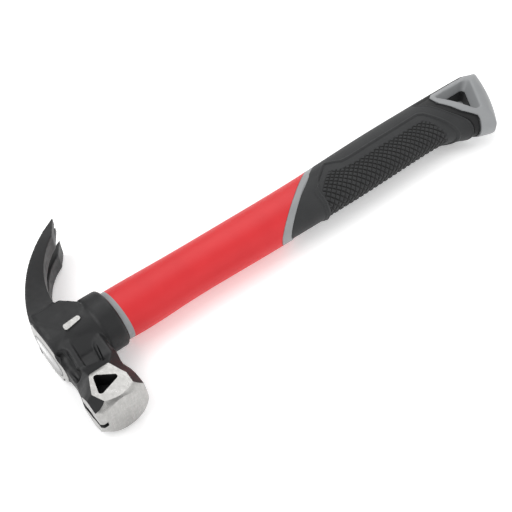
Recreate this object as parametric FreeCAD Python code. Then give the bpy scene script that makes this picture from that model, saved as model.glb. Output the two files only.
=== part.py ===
import FreeCAD, Part
import math
import os

# Claw hammer with a forged head, a fibreglass core, a moulded shaft and a rubber grip.
# It lies on its side. Until the last step everything is drawn about the point where the
# line of the handle leaves the top of the head: +X runs down the handle to the pommel,
# +Y points to the claw tips, -Y to the striking face, and Z = 0 is the plane of symmetry.

WASTE = 80.0                # reach and half thickness of the blocks that cut ends away
WASTE_HALF = 20.0
FAR = 500.0                 # beyond both ends of the hammer
ABOVE = -5.0                # cutters through the head start above the crown
THROUGH = 60.0              # and are this long

# Striking face and bell
BELL_AXIS_X = 11.7          # the bell's axis lies this far below the crown
FACE_Y = -52.1              # plane of the striking face
FACE_RADIUS = 12.3          # flat disc of the face
FACE_CHAMFER = 3.0          # depth of the 45 degree cone round the face
LAND_TOP = -1.8             # the ground lands on top, underneath and on both sides
LAND_BOTTOM = 25.0
LAND_SIDE = 13.5
POCKET_DEPTH = 9.0          # triangular recess in each side land
POCKET_CORNER = 1.5
POCKET_OUTLINE = ((7.2, -32.8), (18.2, -41.0), (3.8, -45.5))

# Sections of neck and bell, each an octagon across the head: y, top, bottom, side, then
# half widths of the top and bottom flats, then where the side flat begins and ends in x.
NECK_SECTIONS = (
    (-5.0, 1.2, 25.2, 10.4, 5.6, 8.8, 6.8, 23.6),
    (-25.0, 0.4, 25.0, 10.4, 4.8, 7.8, 6.2, 22.4),
    (-32.5, -0.9, 23.6, LAND_SIDE, 5.4, 6.4, 6.2, 16.6),
    (-38.6, LAND_TOP, LAND_BOTTOM, LAND_SIDE, 8.4, 6.9, 3.5, 18.6),
    (-42.2, LAND_TOP, LAND_BOTTOM, LAND_SIDE, 10.0, 7.8, 2.0, 20.0),
    (FACE_Y, LAND_TOP, LAND_BOTTOM, LAND_SIDE, 6.2, 7.0, 6.1, 19.2),
)
WEB_HALF = 8.4              # half thickness of the neck inside its cheek pockets
CHEEK_POCKET = ((8.6, -4.0), (8.2, -24.0), (15.8, -26.3), (17.6, -16.0), (20.0, -12.0),
                (21.0, 3.0), (10.8, 3.5))

# Nail starter in the top land
GROOVE_WIDTH = 2.9
GROOVE_DEPTH = 3.6
MAGNET_Y = (-44.4, -34.0)
MAGNET_WIDTH = 5.0
MAGNET_DEPTH = 5.0
MAGNET_BAR = 2.4            # thickness of the magnet, which lies on the pocket floor

# Socket of the head
CROWN_CENTRE_Y = 1.3
CROWN_HALF_Y = 17.6
CROWN_HALF_Z = 14.3
CROWN_DOME_RADIUS = 125.0
CROWN_RISE = 1.2            # height of the ground dome over its rim
SOCKET_CENTRE_Y = 1.0
SOCKET_HALF_Y = 17.7
SOCKET_HALF_Z = 14.8
COLLAR_TOP = 25.0
COLLAR_END = 37.4
COLLAR_ROUND = 2.2
WAIST_INSET = 0.6           # the socket is this much slimmer just above its collar
OVERLAP = 2.0               # hidden overlap between the socket's two stretches
CHEEK_BAR = ((10.8, 1.4), (10.9, -2.4), (20.4, 0.1), (20.4, 3.0))    # raised on each cheek
BAR_ROUND = 1.2
BAR_RISE = 0.35

# Claw: top and underside are arcs through three points of (x, y)
CLAW_TOP_ARC = ((-0.2, 15.5), (16.2, 47.3), (45.2, 71.6))
CLAW_UNDER_ARC = ((16.6, 23.0), (24.1, 45.6), (38.4, 60.9))
CLAW_BLANK_END = (48.0, 66.0)       # underside of the blank's tip, before it is bevelled
CLAW_TIP_INSET = 0.8                # how much narrower that underside is than the top
CLAW_EDGE = (44.8, 70.9)            # the bevel runs straight from the arc's end to here
BEVEL_REACH = 1.5                   # and its cut runs on past the tips, in bevel lengths
CLAW_STATIONS = 13
CLAW_TOP_HALF = (14.2, 15.0)        # half width of the top face, at the root and the tip
CLAW_UNDER_HALF = (8.6, 13.6)       # half width of the underside, at the root and the bevel
CLAW_UNDER_FLARE = 1.3              # how late along the claw the underside widens
# Sections that carry the claw back into the socket: top point, underside point, half width
# of the underside.
CLAW_ROOT = (
    ((1.0, -2.0), (25.2, -2.0), 14.0),
    ((1.0, 4.0), (25.2, 9.8), 14.0),
    ((0.4, 10.0), (19.2, 16.4), 11.1),
)
BEVEL_SHARE = 0.84                  # how far along the top the tip bevel begins
SLOT_ROOT_Y = 27.0
SLOT_TIP_HALF = 3.6
SLOT_ROOT_HALF = 0.7
SLOT_ROOT_EASE = 0.1        # the slot's round root is this much wider than its V
BRAD_Z = 8.5                # small brad notch in one prong only
BRAD_HALF = 1.2
BRAD_DEPTH = 8.0

# Handle core and its bond
CORE_CENTRE_Y = 0.9
CORE_HALF_Y = 12.8
CORE_HALF_Z = 9.0
CORE_END = 281.0
BOND = 0.9                  # epoxy gap round the core in the eye

# Handle covers
FERRULE_END = 40.6
BAND_START = 163.5          # slanted grey band, where it crosses the handle's centreline
BAND_END = 170.2
BAND_SLOPE = 1.44           # how far the band runs along the handle per mm across it
CARRIER_WALL = 2.0          # grey moulding between the core and the rubber
CARRIER_SPAN = (140.0, 300.0)       # stretch that takes in all of that moulding's tube
COVER_SPAN = 8.0            # a rod this much larger than the core takes in the shaft covers

# Where the handle is cut: distance from the crown, reach towards the claw side, reach
# towards the face side, and half thickness.
SHAFT_SECTIONS = (
    (36.0, 16.0, 15.3, 11.2),
    (75.0, 15.4, 15.8, 11.4),
    (120.0, 15.1, 17.0, 11.5),
    (160.0, 15.2, 18.2, 11.6),
    (195.0, 16.3, 19.0, 11.9),
    (230.0, 17.6, 18.7, 12.2),
    (262.0, 17.9, 18.5, 12.3),
    (276.0, 18.0, 19.8, 12.4),
    (286.0, 18.1, 23.4, 12.7),
    (296.0, 18.2, 27.8, 12.9),
    (312.0, 18.3, 33.6, 13.0),
    (328.0, 18.4, 35.0, 11.2),
    (345.0, 18.4, 38.0, 7.0),
)
POMMEL_ARC = ((334.2, 9.0), (323.8, -9.5), (309.8, -27.4))     # end of the pommel in plan
POMMEL_HEEL = ((325.0, 18.5), (332.2, 15.6))    # the rounded corner that leads into it
POMMEL_TOE = ((304.4, -31.6), (297.0, -33.2))   # and the one that leads out of it
POMMEL_NOSE = 12.0          # length and half thickness of the bullnose at that end
POMMEL_NOSE_HALF = 11.2

# Triangular hang hole: window on the surface and throat in the middle, in (x, y)
WINDOW = ((285.4, 10.6), (300.6, -24.5), (325.2, 10.6))
THROAT = ((291.0, 5.9), (301.5, -14.6), (315.6, 5.9))
THROAT_HALF = 4.0
WINDOW_HALF = 14.5          # the window's outline is drawn this far out, beyond the surface
WINDOW_ROUND = 3.6
THROAT_ROUND = 1.8
LINER = 1.5                 # rubber wall round the throat
CHANNEL = 3.0               # two square moulding channels join it to the rubber on the spine
CHANNEL_X = (296.0, 308.0)
CHANNEL_END = 15.2

# Plan of the grey end in (x, y); the rubber keeps a spine strip along the claw side
GREY_END = ((324.0, 14.2), (291.0, 13.2), (286.2, 9.6), (284.0, 2.0), (290.4, -13.0),
            (297.4, -21.4), (297.2, -23.8), (292.0, -36.0), (350.0, -36.0), (350.0, 25.0),
            (325.0, 25.0))

Vector = FreeCAD.Vector


def point(x, y, z=0.0):
    return Vector(x, y, z)


def polygon(points):
    return Part.makePolygon(list(points) + [points[0]])


def rounded_outline(corners, radius, z):
    """Closed wire in a plane of constant z: a polygon whose corners are arcs."""
    wire = polygon([point(x, y, z) for x, y in corners])
    flat = Part.Face(wire)
    solid = flat.extrude(Vector(0, 0, 1))
    upright = [e for e in solid.Edges if abs(e.tangentAt(e.FirstParameter).z) > 0.9]
    rounded = solid.makeFillet(radius, upright)
    base = min(rounded.Faces, key=lambda face: face.CenterOfMass.z)
    return base.OuterWire


def ellipse(x, centre_y, half_y, half_z):
    """Ellipse across the handle at distance x from the crown."""
    if half_y >= half_z:
        axes = (point(x, centre_y + half_y), point(x, centre_y, half_z))
    else:
        axes = (point(x, centre_y, half_z), point(x, centre_y - half_y))
    curve = Part.Ellipse(axes[0], axes[1], point(x, centre_y))
    return Part.Wire([curve.toShape()])


def oval_rod(x_start, x_end, centre_y, half_y, half_z):
    base = Part.Face(ellipse(x_start, centre_y, half_y, half_z))
    return base.extrude(Vector(x_end - x_start, 0, 0))


def prism(corners, z_low, z_high):
    """Prism across the hammer from an outline in (x, y)."""
    base = Part.Face(polygon([point(x, y, z_low) for x, y in corners]))
    return base.extrude(Vector(0, 0, z_high - z_low))


def crown_dome():
    """Ball that trims the socket, the bond and the core to one ground surface."""
    centre = point(CROWN_DOME_RADIUS - CROWN_RISE, CROWN_CENTRE_Y)
    return Part.makeSphere(CROWN_DOME_RADIUS, centre)


def socket():
    crown = ellipse(-CROWN_RISE - 1.0, CROWN_CENTRE_Y, CROWN_HALF_Y, CROWN_HALF_Z)
    waist = ellipse(COLLAR_TOP, SOCKET_CENTRE_Y, SOCKET_HALF_Y - WAIST_INSET,
                    SOCKET_HALF_Z - WAIST_INSET)
    boss = Part.makeLoft([crown, waist], True, True)
    boss = boss.common(crown_dome())
    collar = oval_rod(COLLAR_TOP, COLLAR_END, SOCKET_CENTRE_Y, SOCKET_HALF_Y, SOCKET_HALF_Z)
    rims = [edge for edge in collar.Edges if edge.isClosed()]
    collar = collar.makeFillet(COLLAR_ROUND, rims)
    overlap = oval_rod(COLLAR_TOP - OVERLAP, COLLAR_END - OVERLAP, SOCKET_CENTRE_Y,
                       SOCKET_HALF_Y - OVERLAP, SOCKET_HALF_Z - OVERLAP)
    return boss.fuse([collar, overlap])


def arc_through(points):
    """Centre, radius and end angles of the arc through three points of (x, y)."""
    first, middle, last = [point(x, y) for x, y in points]
    circle = Part.Arc(first, middle, last).toShape().Curve
    centre = circle.Center
    start = math.atan2(first.y - centre.y, first.x - centre.x)
    end = math.atan2(last.y - centre.y, last.x - centre.x)
    return centre, circle.Radius, start, end


def blend(ends, share):
    return ends[0] + (ends[1] - ends[0]) * share


def claw_section(top, low, top_half, low_half):
    return polygon([point(top[0], top[1], top_half), point(top[0], top[1], -top_half),
                    point(low[0], low[1], -low_half), point(low[0], low[1], low_half)])


def on_arc(arc, share):
    centre, radius, start, end = arc
    angle = blend((start, end), share)
    return centre.x + radius * math.cos(angle), centre.y + radius * math.sin(angle)


def claw():
    """Curved claw lofted through trapezoids, less its tip bevel, nail slot and brad notch."""
    top_arc = arc_through(CLAW_TOP_ARC)
    under_arc = arc_through(CLAW_UNDER_ARC)
    sections = [claw_section(top, low, CLAW_TOP_HALF[0], low_half)
                for top, low, low_half in CLAW_ROOT]
    for i in range(CLAW_STATIONS):
        share = i / (CLAW_STATIONS - 1)
        top = on_arc(top_arc, share * BEVEL_SHARE)
        under = on_arc(under_arc, share)
        under_half = blend(CLAW_UNDER_HALF, share ** CLAW_UNDER_FLARE)
        top_half = blend(CLAW_TOP_HALF, share * BEVEL_SHARE)
        sections.append(claw_section(top, under, top_half, under_half))
    sections.append(claw_section(CLAW_TOP_ARC[2], CLAW_BLANK_END, CLAW_TOP_HALF[1],
                                 CLAW_TOP_HALF[1] - CLAW_TIP_INSET))
    blank = Part.makeLoft(sections, True, True)
    return blank.cut(claw_slots()).cut(tip_bevel())


def tip_bevel():
    """Everything under the slanted plane that thins the claw to its tips."""
    start_x, start_y = CLAW_UNDER_ARC[2]
    far_x = start_x + BEVEL_REACH * (CLAW_EDGE[0] - start_x)
    far_y = start_y + BEVEL_REACH * (CLAW_EDGE[1] - start_y)
    corners = ((start_x, start_y), (far_x, far_y), (far_x + WASTE, far_y),
               (start_x + WASTE, start_y))
    return prism(corners, -WASTE_HALF, WASTE_HALF)


def claw_slots():
    """V slot between the prongs, and the small brad notch in one of them."""
    tip_y = CLAW_TOP_ARC[2][1] + 1.0
    slot = [(SLOT_ROOT_Y, -SLOT_ROOT_HALF), (tip_y, -SLOT_TIP_HALF),
            (tip_y, SLOT_TIP_HALF), (SLOT_ROOT_Y, SLOT_ROOT_HALF)]
    notch = [(CLAW_TOP_ARC[2][1] - BRAD_DEPTH, BRAD_Z), (tip_y, BRAD_Z - BRAD_HALF),
             (tip_y, BRAD_Z + BRAD_HALF)]
    cutters = []
    for outline in (slot, notch):
        face = Part.Face(polygon([point(ABOVE, y, z) for y, z in outline]))
        cutters.append(face.extrude(Vector(THROUGH, 0, 0)))
    cutters.append(Part.makeCylinder(SLOT_ROOT_HALF + SLOT_ROOT_EASE, THROUGH,
                                     point(ABOVE, SLOT_ROOT_Y), Vector(1, 0, 0)))
    return cutters


def octagon(y, top, bottom, side, top_half, bottom_half, side_from, side_to):
    half = [(top, top_half), (side_from, side), (side_to, side), (bottom, bottom_half)]
    spots = half + [(x, -z) for x, z in reversed(half)]
    return polygon([point(x, y, z) for x, z in spots])


def neck_and_bell():
    """Neck and bell, with the cone round the face and the pockets in the neck's cheeks."""
    outlines = [octagon(*section) for section in NECK_SECTIONS]
    spans = [Part.makeLoft(list(pair), True, True) for pair in zip(outlines, outlines[1:])]
    body = spans[0].fuse(spans[1:])
    reach = FACE_RADIUS + FACE_CHAMFER
    centre = point(BELL_AXIS_X, FACE_Y)
    cone = Part.makeCone(FACE_RADIUS, reach, FACE_CHAMFER, centre, Vector(0, 1, 0))
    back = Part.makeCylinder(2 * reach, THROUGH, centre + Vector(0, FACE_CHAMFER, 0),
                             Vector(0, 1, 0))
    low = prism(CHEEK_POCKET, -LAND_SIDE, -WEB_HALF)
    high = prism(CHEEK_POCKET, WEB_HALF, LAND_SIDE)
    return body.common(cone.fuse(back)).cut([low, high])


def cheek_bars():
    """Raised bar on each cheek."""
    reach = CROWN_HALF_Z + BAR_RISE
    outline = rounded_outline(CHEEK_BAR, BAR_ROUND, -reach)
    return Part.Face(outline).extrude(Vector(0, 0, 2 * reach))


def nail_starter():
    """Groove along the top land, with a wider pocket for the magnet."""
    top = LAND_TOP
    length = FACE_Y - 1.0 - MAGNET_Y[0]
    groove = Part.makeBox(GROOVE_DEPTH + 1, -length, GROOVE_WIDTH,
                          point(top - 1, FACE_Y - 1.0, -GROOVE_WIDTH / 2))
    pocket = Part.makeBox(MAGNET_DEPTH + 1, MAGNET_Y[1] - MAGNET_Y[0], MAGNET_WIDTH,
                          point(top - 1, MAGNET_Y[0], -MAGNET_WIDTH / 2))
    return groove.fuse(pocket)


def bell_pockets():
    """Triangular recesses in the two side lands of the bell."""
    floor = LAND_SIDE - POCKET_DEPTH
    cuts = []
    for z in (floor, -LAND_SIDE - 1):
        face = Part.Face(rounded_outline(POCKET_OUTLINE, POCKET_CORNER, z))
        cuts.append(face.extrude(Vector(0, 0, POCKET_DEPTH + 1)))
    return cuts


def eye(x_end):
    """Oval hole through the socket."""
    return oval_rod(ABOVE, x_end, CORE_CENTRE_Y, CORE_HALF_Y + BOND, CORE_HALF_Z + BOND)


def head_forging():
    body = socket().fuse([claw(), neck_and_bell(), cheek_bars()])
    return body.cut([eye(THROUGH), nail_starter()] + bell_pockets()).removeSplitter()


def starter_magnet():
    floor = LAND_TOP + MAGNET_DEPTH
    return Part.makeBox(MAGNET_BAR, MAGNET_Y[1] - MAGNET_Y[0], MAGNET_WIDTH,
                        point(floor - MAGNET_BAR, MAGNET_Y[0], -MAGNET_WIDTH / 2))


def core_rod(grow=0.0, x_start=ABOVE, x_end=CORE_END):
    return oval_rod(x_start, x_end, CORE_CENTRE_Y, CORE_HALF_Y + grow, CORE_HALF_Z + grow)


def fibreglass_core():
    return core_rod().common(crown_dome())


def eye_epoxy():
    return eye(COLLAR_END).common(crown_dome()).cut(core_rod())


def cover_envelope():
    """Outside of everything moulded over the core, with the rounded pommel end."""
    wires = []
    for x, back, front, half in SHAFT_SECTIONS:
        wires.append(ellipse(x, (back - front) / 2, (back + front) / 2, half))
    blank = Part.makeLoft(wires, True, False)
    return blank.cut(pommel_waste())


def pommel_waste():
    """Everything past the end of the pommel: a plan outline, and a bullnose round it."""
    heel_start, toe_end = POMMEL_HEEL[0], POMMEL_TOE[1]
    arcs = [(heel_start, POMMEL_HEEL[1], POMMEL_ARC[0]), POMMEL_ARC,
            (POMMEL_ARC[2], POMMEL_TOE[0], toe_end)]
    edges = [Part.Arc(*[point(x, y) for x, y in arc]).toShape() for arc in arcs]
    corners = (toe_end, (toe_end[0], -WASTE), (CORE_END + WASTE, -WASTE),
               (CORE_END + WASTE, WASTE), (heel_start[0], WASTE), heel_start)
    for a, b in zip(corners, corners[1:]):
        edges.append(Part.LineSegment(point(*a), point(*b)).toShape())
    outline = Part.Face(Part.Wire(edges))
    outline.translate(Vector(0, 0, -WASTE_HALF))
    beyond = outline.extrude(Vector(0, 0, 2 * WASTE_HALF))

    centre, radius = arc_through(POMMEL_ARC)[:2]
    inner = radius - POMMEL_NOSE
    slant = math.radians(45)
    bend = inner + POMMEL_NOSE * math.cos(slant)
    rise = POMMEL_NOSE_HALF * math.sin(slant)
    low = Vector(inner, 0, -POMMEL_NOSE_HALF)
    high = Vector(inner, 0, POMMEL_NOSE_HALF)
    tip = Vector(radius, 0, 0)
    corners = (high, Vector(inner, 0, WASTE_HALF), Vector(0, 0, WASTE_HALF),
               Vector(0, 0, -WASTE_HALF), Vector(inner, 0, -WASTE_HALF), low)
    section = [Part.Arc(low, Vector(bend, 0, -rise), tip).toShape(),
               Part.Arc(tip, Vector(bend, 0, rise), high).toShape()]
    section += [Part.LineSegment(a, b).toShape() for a, b in zip(corners, corners[1:])]
    disc = Part.Face(Part.Wire(section)).revolve(Vector(0, 0, 0), Vector(0, 0, 1), 360)
    disc.translate(centre)
    end_block = Part.makeBox(WASTE, 2 * WASTE, 2 * WASTE_HALF, point(CORE_END, -WASTE, -WASTE_HALF))
    return beyond.fuse(end_block.cut(disc))


def slanted_cut(centre_x, keep_start):
    """Everything on one side of a slanted plane across the handle."""
    far = -FAR if keep_start else FAR
    corners = ((centre_x + BAND_SLOPE * WASTE, WASTE), (centre_x - BAND_SLOPE * WASTE, -WASTE),
               (far, -WASTE), (far, WASTE))
    return prism(corners, -WASTE_HALF, WASTE_HALF)


def scaled(corners, offset):
    """Triangle pushed outwards by offset on every side."""
    result = []
    count = len(corners)
    for i in range(count):
        before, here, after = [Vector(*corners[(i + k) % count], 0) for k in (-1, 0, 1)]
        back = (before - here).normalize()
        ahead = (after - here).normalize()
        half_angle = math.acos(back.dot(ahead)) / 2
        outward = (back + ahead).normalize() * (-offset / math.sin(half_angle))
        result.append((here.x + outward.x, here.y + outward.y))
    return tuple(result)


def throat_hole():
    face = Part.Face(rounded_outline(THROAT, THROAT_ROUND, -THROAT_HALF - 1.0))
    return face.extrude(Vector(0, 0, 2 * THROAT_HALF + 2.0))


def hang_hole():
    """Triangular window on both sides that narrows to a throat in the middle."""
    cuts = [throat_hole()]
    for side in (-1, 1):
        outer = rounded_outline(WINDOW, WINDOW_ROUND, side * WINDOW_HALF)
        inner = rounded_outline(THROAT, THROAT_ROUND, side * THROAT_HALF)
        cuts.append(Part.makeLoft([outer, inner], True, True))
    return cuts


def pommel_region():
    return prism(GREY_END, -WASTE_HALF, WASTE_HALF)


def neck_ferrule():
    start = core_rod(COVER_SPAN, COLLAR_END, FERRULE_END)
    return cover_envelope().common(start).cut(core_rod())


def shaft_sleeve():
    body = cover_envelope().common(slanted_cut(BAND_START, True))
    start = core_rod(COVER_SPAN, FERRULE_END, CORE_END)
    return body.common(start).cut(core_rod())


def grip_carrier():
    envelope = cover_envelope()
    whole = envelope.common(slanted_cut(BAND_START, False))
    band = whole.common(slanted_cut(BAND_END, True))
    tube = core_rod(CARRIER_WALL, *CARRIER_SPAN).common(whole)
    pommel = envelope.common(pommel_region())
    body = band.fuse([tube, pommel])
    return body.cut([core_rod(), throat_liner()] + hang_hole())


def throat_liner():
    """Rubber wall round the throat, joined to the spine strip by two moulding channels."""
    grown = scaled(THROAT, LINER)
    ring = Part.Face(rounded_outline(grown, THROAT_ROUND + LINER, -THROAT_HALF))
    ring = ring.extrude(Vector(0, 0, 2 * THROAT_HALF))
    channels = [Part.makeBox(CHANNEL, CHANNEL_END - THROAT[0][1], CHANNEL,
                             point(x, THROAT[0][1], -CHANNEL / 2)) for x in CHANNEL_X]
    return ring.fuse(channels).cut(throat_hole())


def rubber_grip():
    body = cover_envelope().common(slanted_cut(BAND_END, False))
    body = body.cut([core_rod(CARRIER_WALL, *CARRIER_SPAN), pommel_region()])
    return body.fuse(throat_liner())


NODES = {
    "head_forging": head_forging,
    "starter_magnet": starter_magnet,
    "eye_epoxy": eye_epoxy,
    "fibreglass_core": fibreglass_core,
    "neck_ferrule": neck_ferrule,
    "shaft_sleeve": shaft_sleeve,
    "grip_carrier": grip_carrier,
    "rubber_grip": rubber_grip,
}


def main():
    shapes = {name: make() for name, make in NODES.items()}
    whole = Part.makeCompound(list(shapes.values())).optimalBoundingBox()
    shift = Vector(-(whole.XMin + whole.XMax) / 2, -(whole.YMin + whole.YMax) / 2, -whole.ZMin)
    os.makedirs("parts", exist_ok=True)
    for name, shape in shapes.items():
        shape.translate(shift)
        shape.exportStep("parts/" + name + ".step")
        print(name, shape.isValid(), len(shape.Solids), round(shape.Volume, 1))
    print("origin moved by", shift)


main()
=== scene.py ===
import math

import bmesh
import bpy
import numpy as np
from mathutils import Matrix, Vector


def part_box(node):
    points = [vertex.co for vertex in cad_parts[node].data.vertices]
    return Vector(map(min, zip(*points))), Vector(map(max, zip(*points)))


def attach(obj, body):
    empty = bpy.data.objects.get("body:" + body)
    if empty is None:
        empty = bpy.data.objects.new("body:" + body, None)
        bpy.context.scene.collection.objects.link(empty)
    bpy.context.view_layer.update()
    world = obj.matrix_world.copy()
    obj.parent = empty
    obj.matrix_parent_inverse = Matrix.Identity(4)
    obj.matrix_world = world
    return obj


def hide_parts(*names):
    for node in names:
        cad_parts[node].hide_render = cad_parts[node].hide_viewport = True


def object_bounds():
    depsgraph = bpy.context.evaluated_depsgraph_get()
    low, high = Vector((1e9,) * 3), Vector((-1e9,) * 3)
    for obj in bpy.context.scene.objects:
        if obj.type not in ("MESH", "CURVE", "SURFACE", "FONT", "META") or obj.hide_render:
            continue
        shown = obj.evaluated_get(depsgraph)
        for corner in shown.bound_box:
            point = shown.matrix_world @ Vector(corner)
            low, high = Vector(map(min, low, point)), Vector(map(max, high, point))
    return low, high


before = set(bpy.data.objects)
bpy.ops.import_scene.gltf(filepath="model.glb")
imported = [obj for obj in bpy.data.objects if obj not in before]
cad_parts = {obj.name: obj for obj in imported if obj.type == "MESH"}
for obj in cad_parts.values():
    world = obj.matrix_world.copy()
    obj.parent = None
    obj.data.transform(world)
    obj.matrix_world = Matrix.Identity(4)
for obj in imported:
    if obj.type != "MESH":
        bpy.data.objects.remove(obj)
CAD_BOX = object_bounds()

# Lengths are in millimetres in a frame of the hammer's own, and become metres in the row
# frame through at(): x runs down the handle from the crown, y points to the claw tips,
# and z is the distance from the hammer's plane of symmetry.
MM = 0.001
LAND_TOP = -1.8
LAND_BOTTOM = 25.0
LAND_SIDE = 13.5
FACE_Y = -52.1
CORE_CENTRE_Y = 0.9         # the handle's core, and the eye round it, are ovals about this line
HEAD_LOW, HEAD_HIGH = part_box("head_forging")
ORIGIN = Vector((HEAD_LOW.x - LAND_TOP * MM, HEAD_LOW.y - FACE_Y * MM,
                 (HEAD_LOW.z + HEAD_HIGH.z) / 2))


def at(x, y, z=0.0):
    """Place in the row frame of a point in the hammer's own frame."""
    return ORIGIN + Vector((x, y, z)) * MM


# ---------------------------------------------------------------- mesh helpers

def coordinates(mesh):
    co = np.empty(len(mesh.vertices) * 3)
    mesh.vertices.foreach_get("co", co)
    return co.reshape(-1, 3)


def local_coordinates(mesh):
    return (coordinates(mesh) - np.array(ORIGIN)) / MM


def set_coordinates(mesh, co):
    mesh.vertices.foreach_set("co", co.ravel())
    mesh.update()


def vertex_normals(mesh):
    normals = np.empty(len(mesh.vertices) * 3)
    mesh.vertices.foreach_get("normal", normals)
    return normals.reshape(-1, 3)


def new_object(name, mesh):
    obj = bpy.data.objects.new(name, mesh)
    bpy.context.scene.collection.objects.link(obj)
    return obj


def applied(obj):
    """The object's mesh becomes the result of its modifiers."""
    bpy.context.view_layer.update()
    evaluated = obj.evaluated_get(bpy.context.evaluated_depsgraph_get())
    mesh = bpy.data.meshes.new_from_object(evaluated)
    old = obj.data
    obj.modifiers.clear()
    obj.data = mesh
    mesh.name = obj.name
    bpy.data.meshes.remove(old)
    return obj


def remeshed(name, node, voxel, prepare=None):
    """Copy of a CAD node as an even grid of small quads."""
    obj = new_object(name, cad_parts[node].data.copy())
    obj.data.materials.clear()
    if prepare:
        prepare(obj.data)
    modifier = obj.modifiers.new("remesh", "REMESH")
    modifier.mode = "VOXEL"
    modifier.voxel_size = voxel * MM
    return applied(obj)


def relax(mesh, rounds, weight):
    """Smooths a mesh; weight is from 0 to 1 for each vertex."""
    co = coordinates(mesh)
    edges = np.empty(len(mesh.edges) * 2, np.int64)
    mesh.edges.foreach_get("vertices", edges)
    first, second = edges.reshape(-1, 2).T
    count = len(co)
    degree = np.bincount(first, minlength=count) + np.bincount(second, minlength=count)
    degree = np.maximum(degree, 1)
    share = 0.5 * weight
    for _ in range(rounds):
        for axis in range(3):
            column = co[:, axis]
            total = np.bincount(first, column[second], count)
            total += np.bincount(second, column[first], count)
            column += share * (total / degree - column)
    set_coordinates(mesh, co)


def ramp(value, low, high):
    """0 below low, 1 above high, smooth between them; low may be the larger."""
    t = np.clip((value - low) / (high - low), 0.0, 1.0)
    return t * t * (3 - 2 * t)


def distance_to_path(x, y, path):
    """Distance of each (x, y) from a chain of straight stretches."""
    best = np.full(len(x), 1e9)
    for (ax, ay), (bx, by) in zip(path, path[1:]):
        dx, dy = bx - ax, by - ay
        t = np.clip(((x - ax) * dx + (y - ay) * dy) / (dx * dx + dy * dy), 0, 1)
        best = np.minimum(best, np.hypot(x - ax - t * dx, y - ay - t * dy))
    return best


def inside(x, y, loop):
    """Whether each (x, y) is within a closed loop of points."""
    result = np.zeros(len(x), bool)
    for (ax, ay), (bx, by) in zip(loop, loop[1:] + loop[:1]):
        if ay == by:
            continue
        crosses = (ay > y) != (by > y)
        result ^= crosses & (x < (bx - ax) * (y - ay) / (by - ay) + ax)
    return result


def signed_distance(x, y, loop):
    """Distance from a closed loop, negative inside it."""
    edge = distance_to_path(x, y, loop + loop[:1])
    return np.where(inside(x, y, loop), -edge, edge)


def curved(points, steps=8):
    """Catmull-Rom curve through points of (x, y)."""
    p = [np.array(q, float) for q in points]
    p = [2 * p[0] - p[1]] + p + [2 * p[-1] - p[-2]]
    result = []
    for i in range(1, len(p) - 2):
        for k in range(steps):
            t = k / steps
            a, b, c, d = p[i - 1], p[i], p[i + 1], p[i + 2]
            q = 0.5 * (2 * b + (c - a) * t + (2 * a - 5 * b + 4 * c - d) * t * t
                       + (3 * b - a - 3 * c + d) * t ** 3)
            result.append(tuple(q))
    result.append(tuple(p[-2]))
    return result


def rounded(corners, radius, steps=6):
    """Closed polygon of (x, y) with its corners turned into arcs."""
    result = []
    count = len(corners)
    for i in range(count):
        here = np.array(corners[i], float)
        before = np.array(corners[i - 1], float) - here
        after = np.array(corners[(i + 1) % count], float) - here
        before /= np.linalg.norm(before)
        after /= np.linalg.norm(after)
        half = math.acos(np.clip(before.dot(after), -1, 1)) / 2
        reach = radius / math.tan(half)
        bisector = before + after
        bisector /= np.linalg.norm(bisector)
        centre = here + bisector * radius / math.sin(half)
        start = here + before * reach - centre
        end = here + after * reach - centre
        a0 = math.atan2(start[1], start[0])
        turn = math.atan2(end[1], end[0]) - a0
        turn = (turn + math.pi) % (2 * math.pi) - math.pi
        for k in range(steps + 1):
            angle = a0 + turn * k / steps
            result.append((centre[0] + radius * math.cos(angle),
                           centre[1] + radius * math.sin(angle)))
    return result


def solid_from_rings(name, rings):
    """Closed solid whose skin joins rings of equal length; the first and last are capped."""
    bm = bmesh.new()
    loops = [[bm.verts.new(at(*p)) for p in ring] for ring in rings]
    count = len(loops[0])
    for low, high in zip(loops, loops[1:]):
        for i in range(count):
            j = (i + 1) % count
            bm.faces.new((low[i], low[j], high[j], high[i]))
    bm.faces.new(loops[0][::-1])
    bm.faces.new(loops[-1])
    bmesh.ops.recalc_face_normals(bm, faces=bm.faces)
    mesh = bpy.data.meshes.new(name)
    bm.to_mesh(mesh)
    bm.free()
    return new_object(name, mesh)


def prism(name, outline, z_low, z_high):
    """Closed solid over an outline in (x, y)."""
    return solid_from_rings(name, [[(x, y, z) for x, y in outline] for z in (z_low, z_high)])


def block(name, x, y, z):
    """Box with its low and high limits along each axis."""
    outline = ((x[0], y[0]), (x[1], y[0]), (x[1], y[1]), (x[0], y[1]))
    return prism(name, outline, *z)


def combine(obj, others, operation):
    """Adds or cuts away other closed solids, which are used up."""
    for other in others:
        modifier = obj.modifiers.new("combine", "BOOLEAN")
        modifier.operation = operation
        modifier.solver = "MANIFOLD"
        modifier.object = other
        applied(obj)
        mesh = other.data
        bpy.data.objects.remove(other)
        bpy.data.meshes.remove(mesh)


def face_facts(mesh):
    """Centres, in the hammer's frame, and normals of all faces."""
    centres = np.empty(len(mesh.polygons) * 3)
    normals = np.empty(len(mesh.polygons) * 3)
    mesh.polygons.foreach_get("center", centres)
    mesh.polygons.foreach_get("normal", normals)
    centres = (centres.reshape(-1, 3) - np.array(ORIGIN)) / MM
    return centres, normals.reshape(-1, 3)


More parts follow.
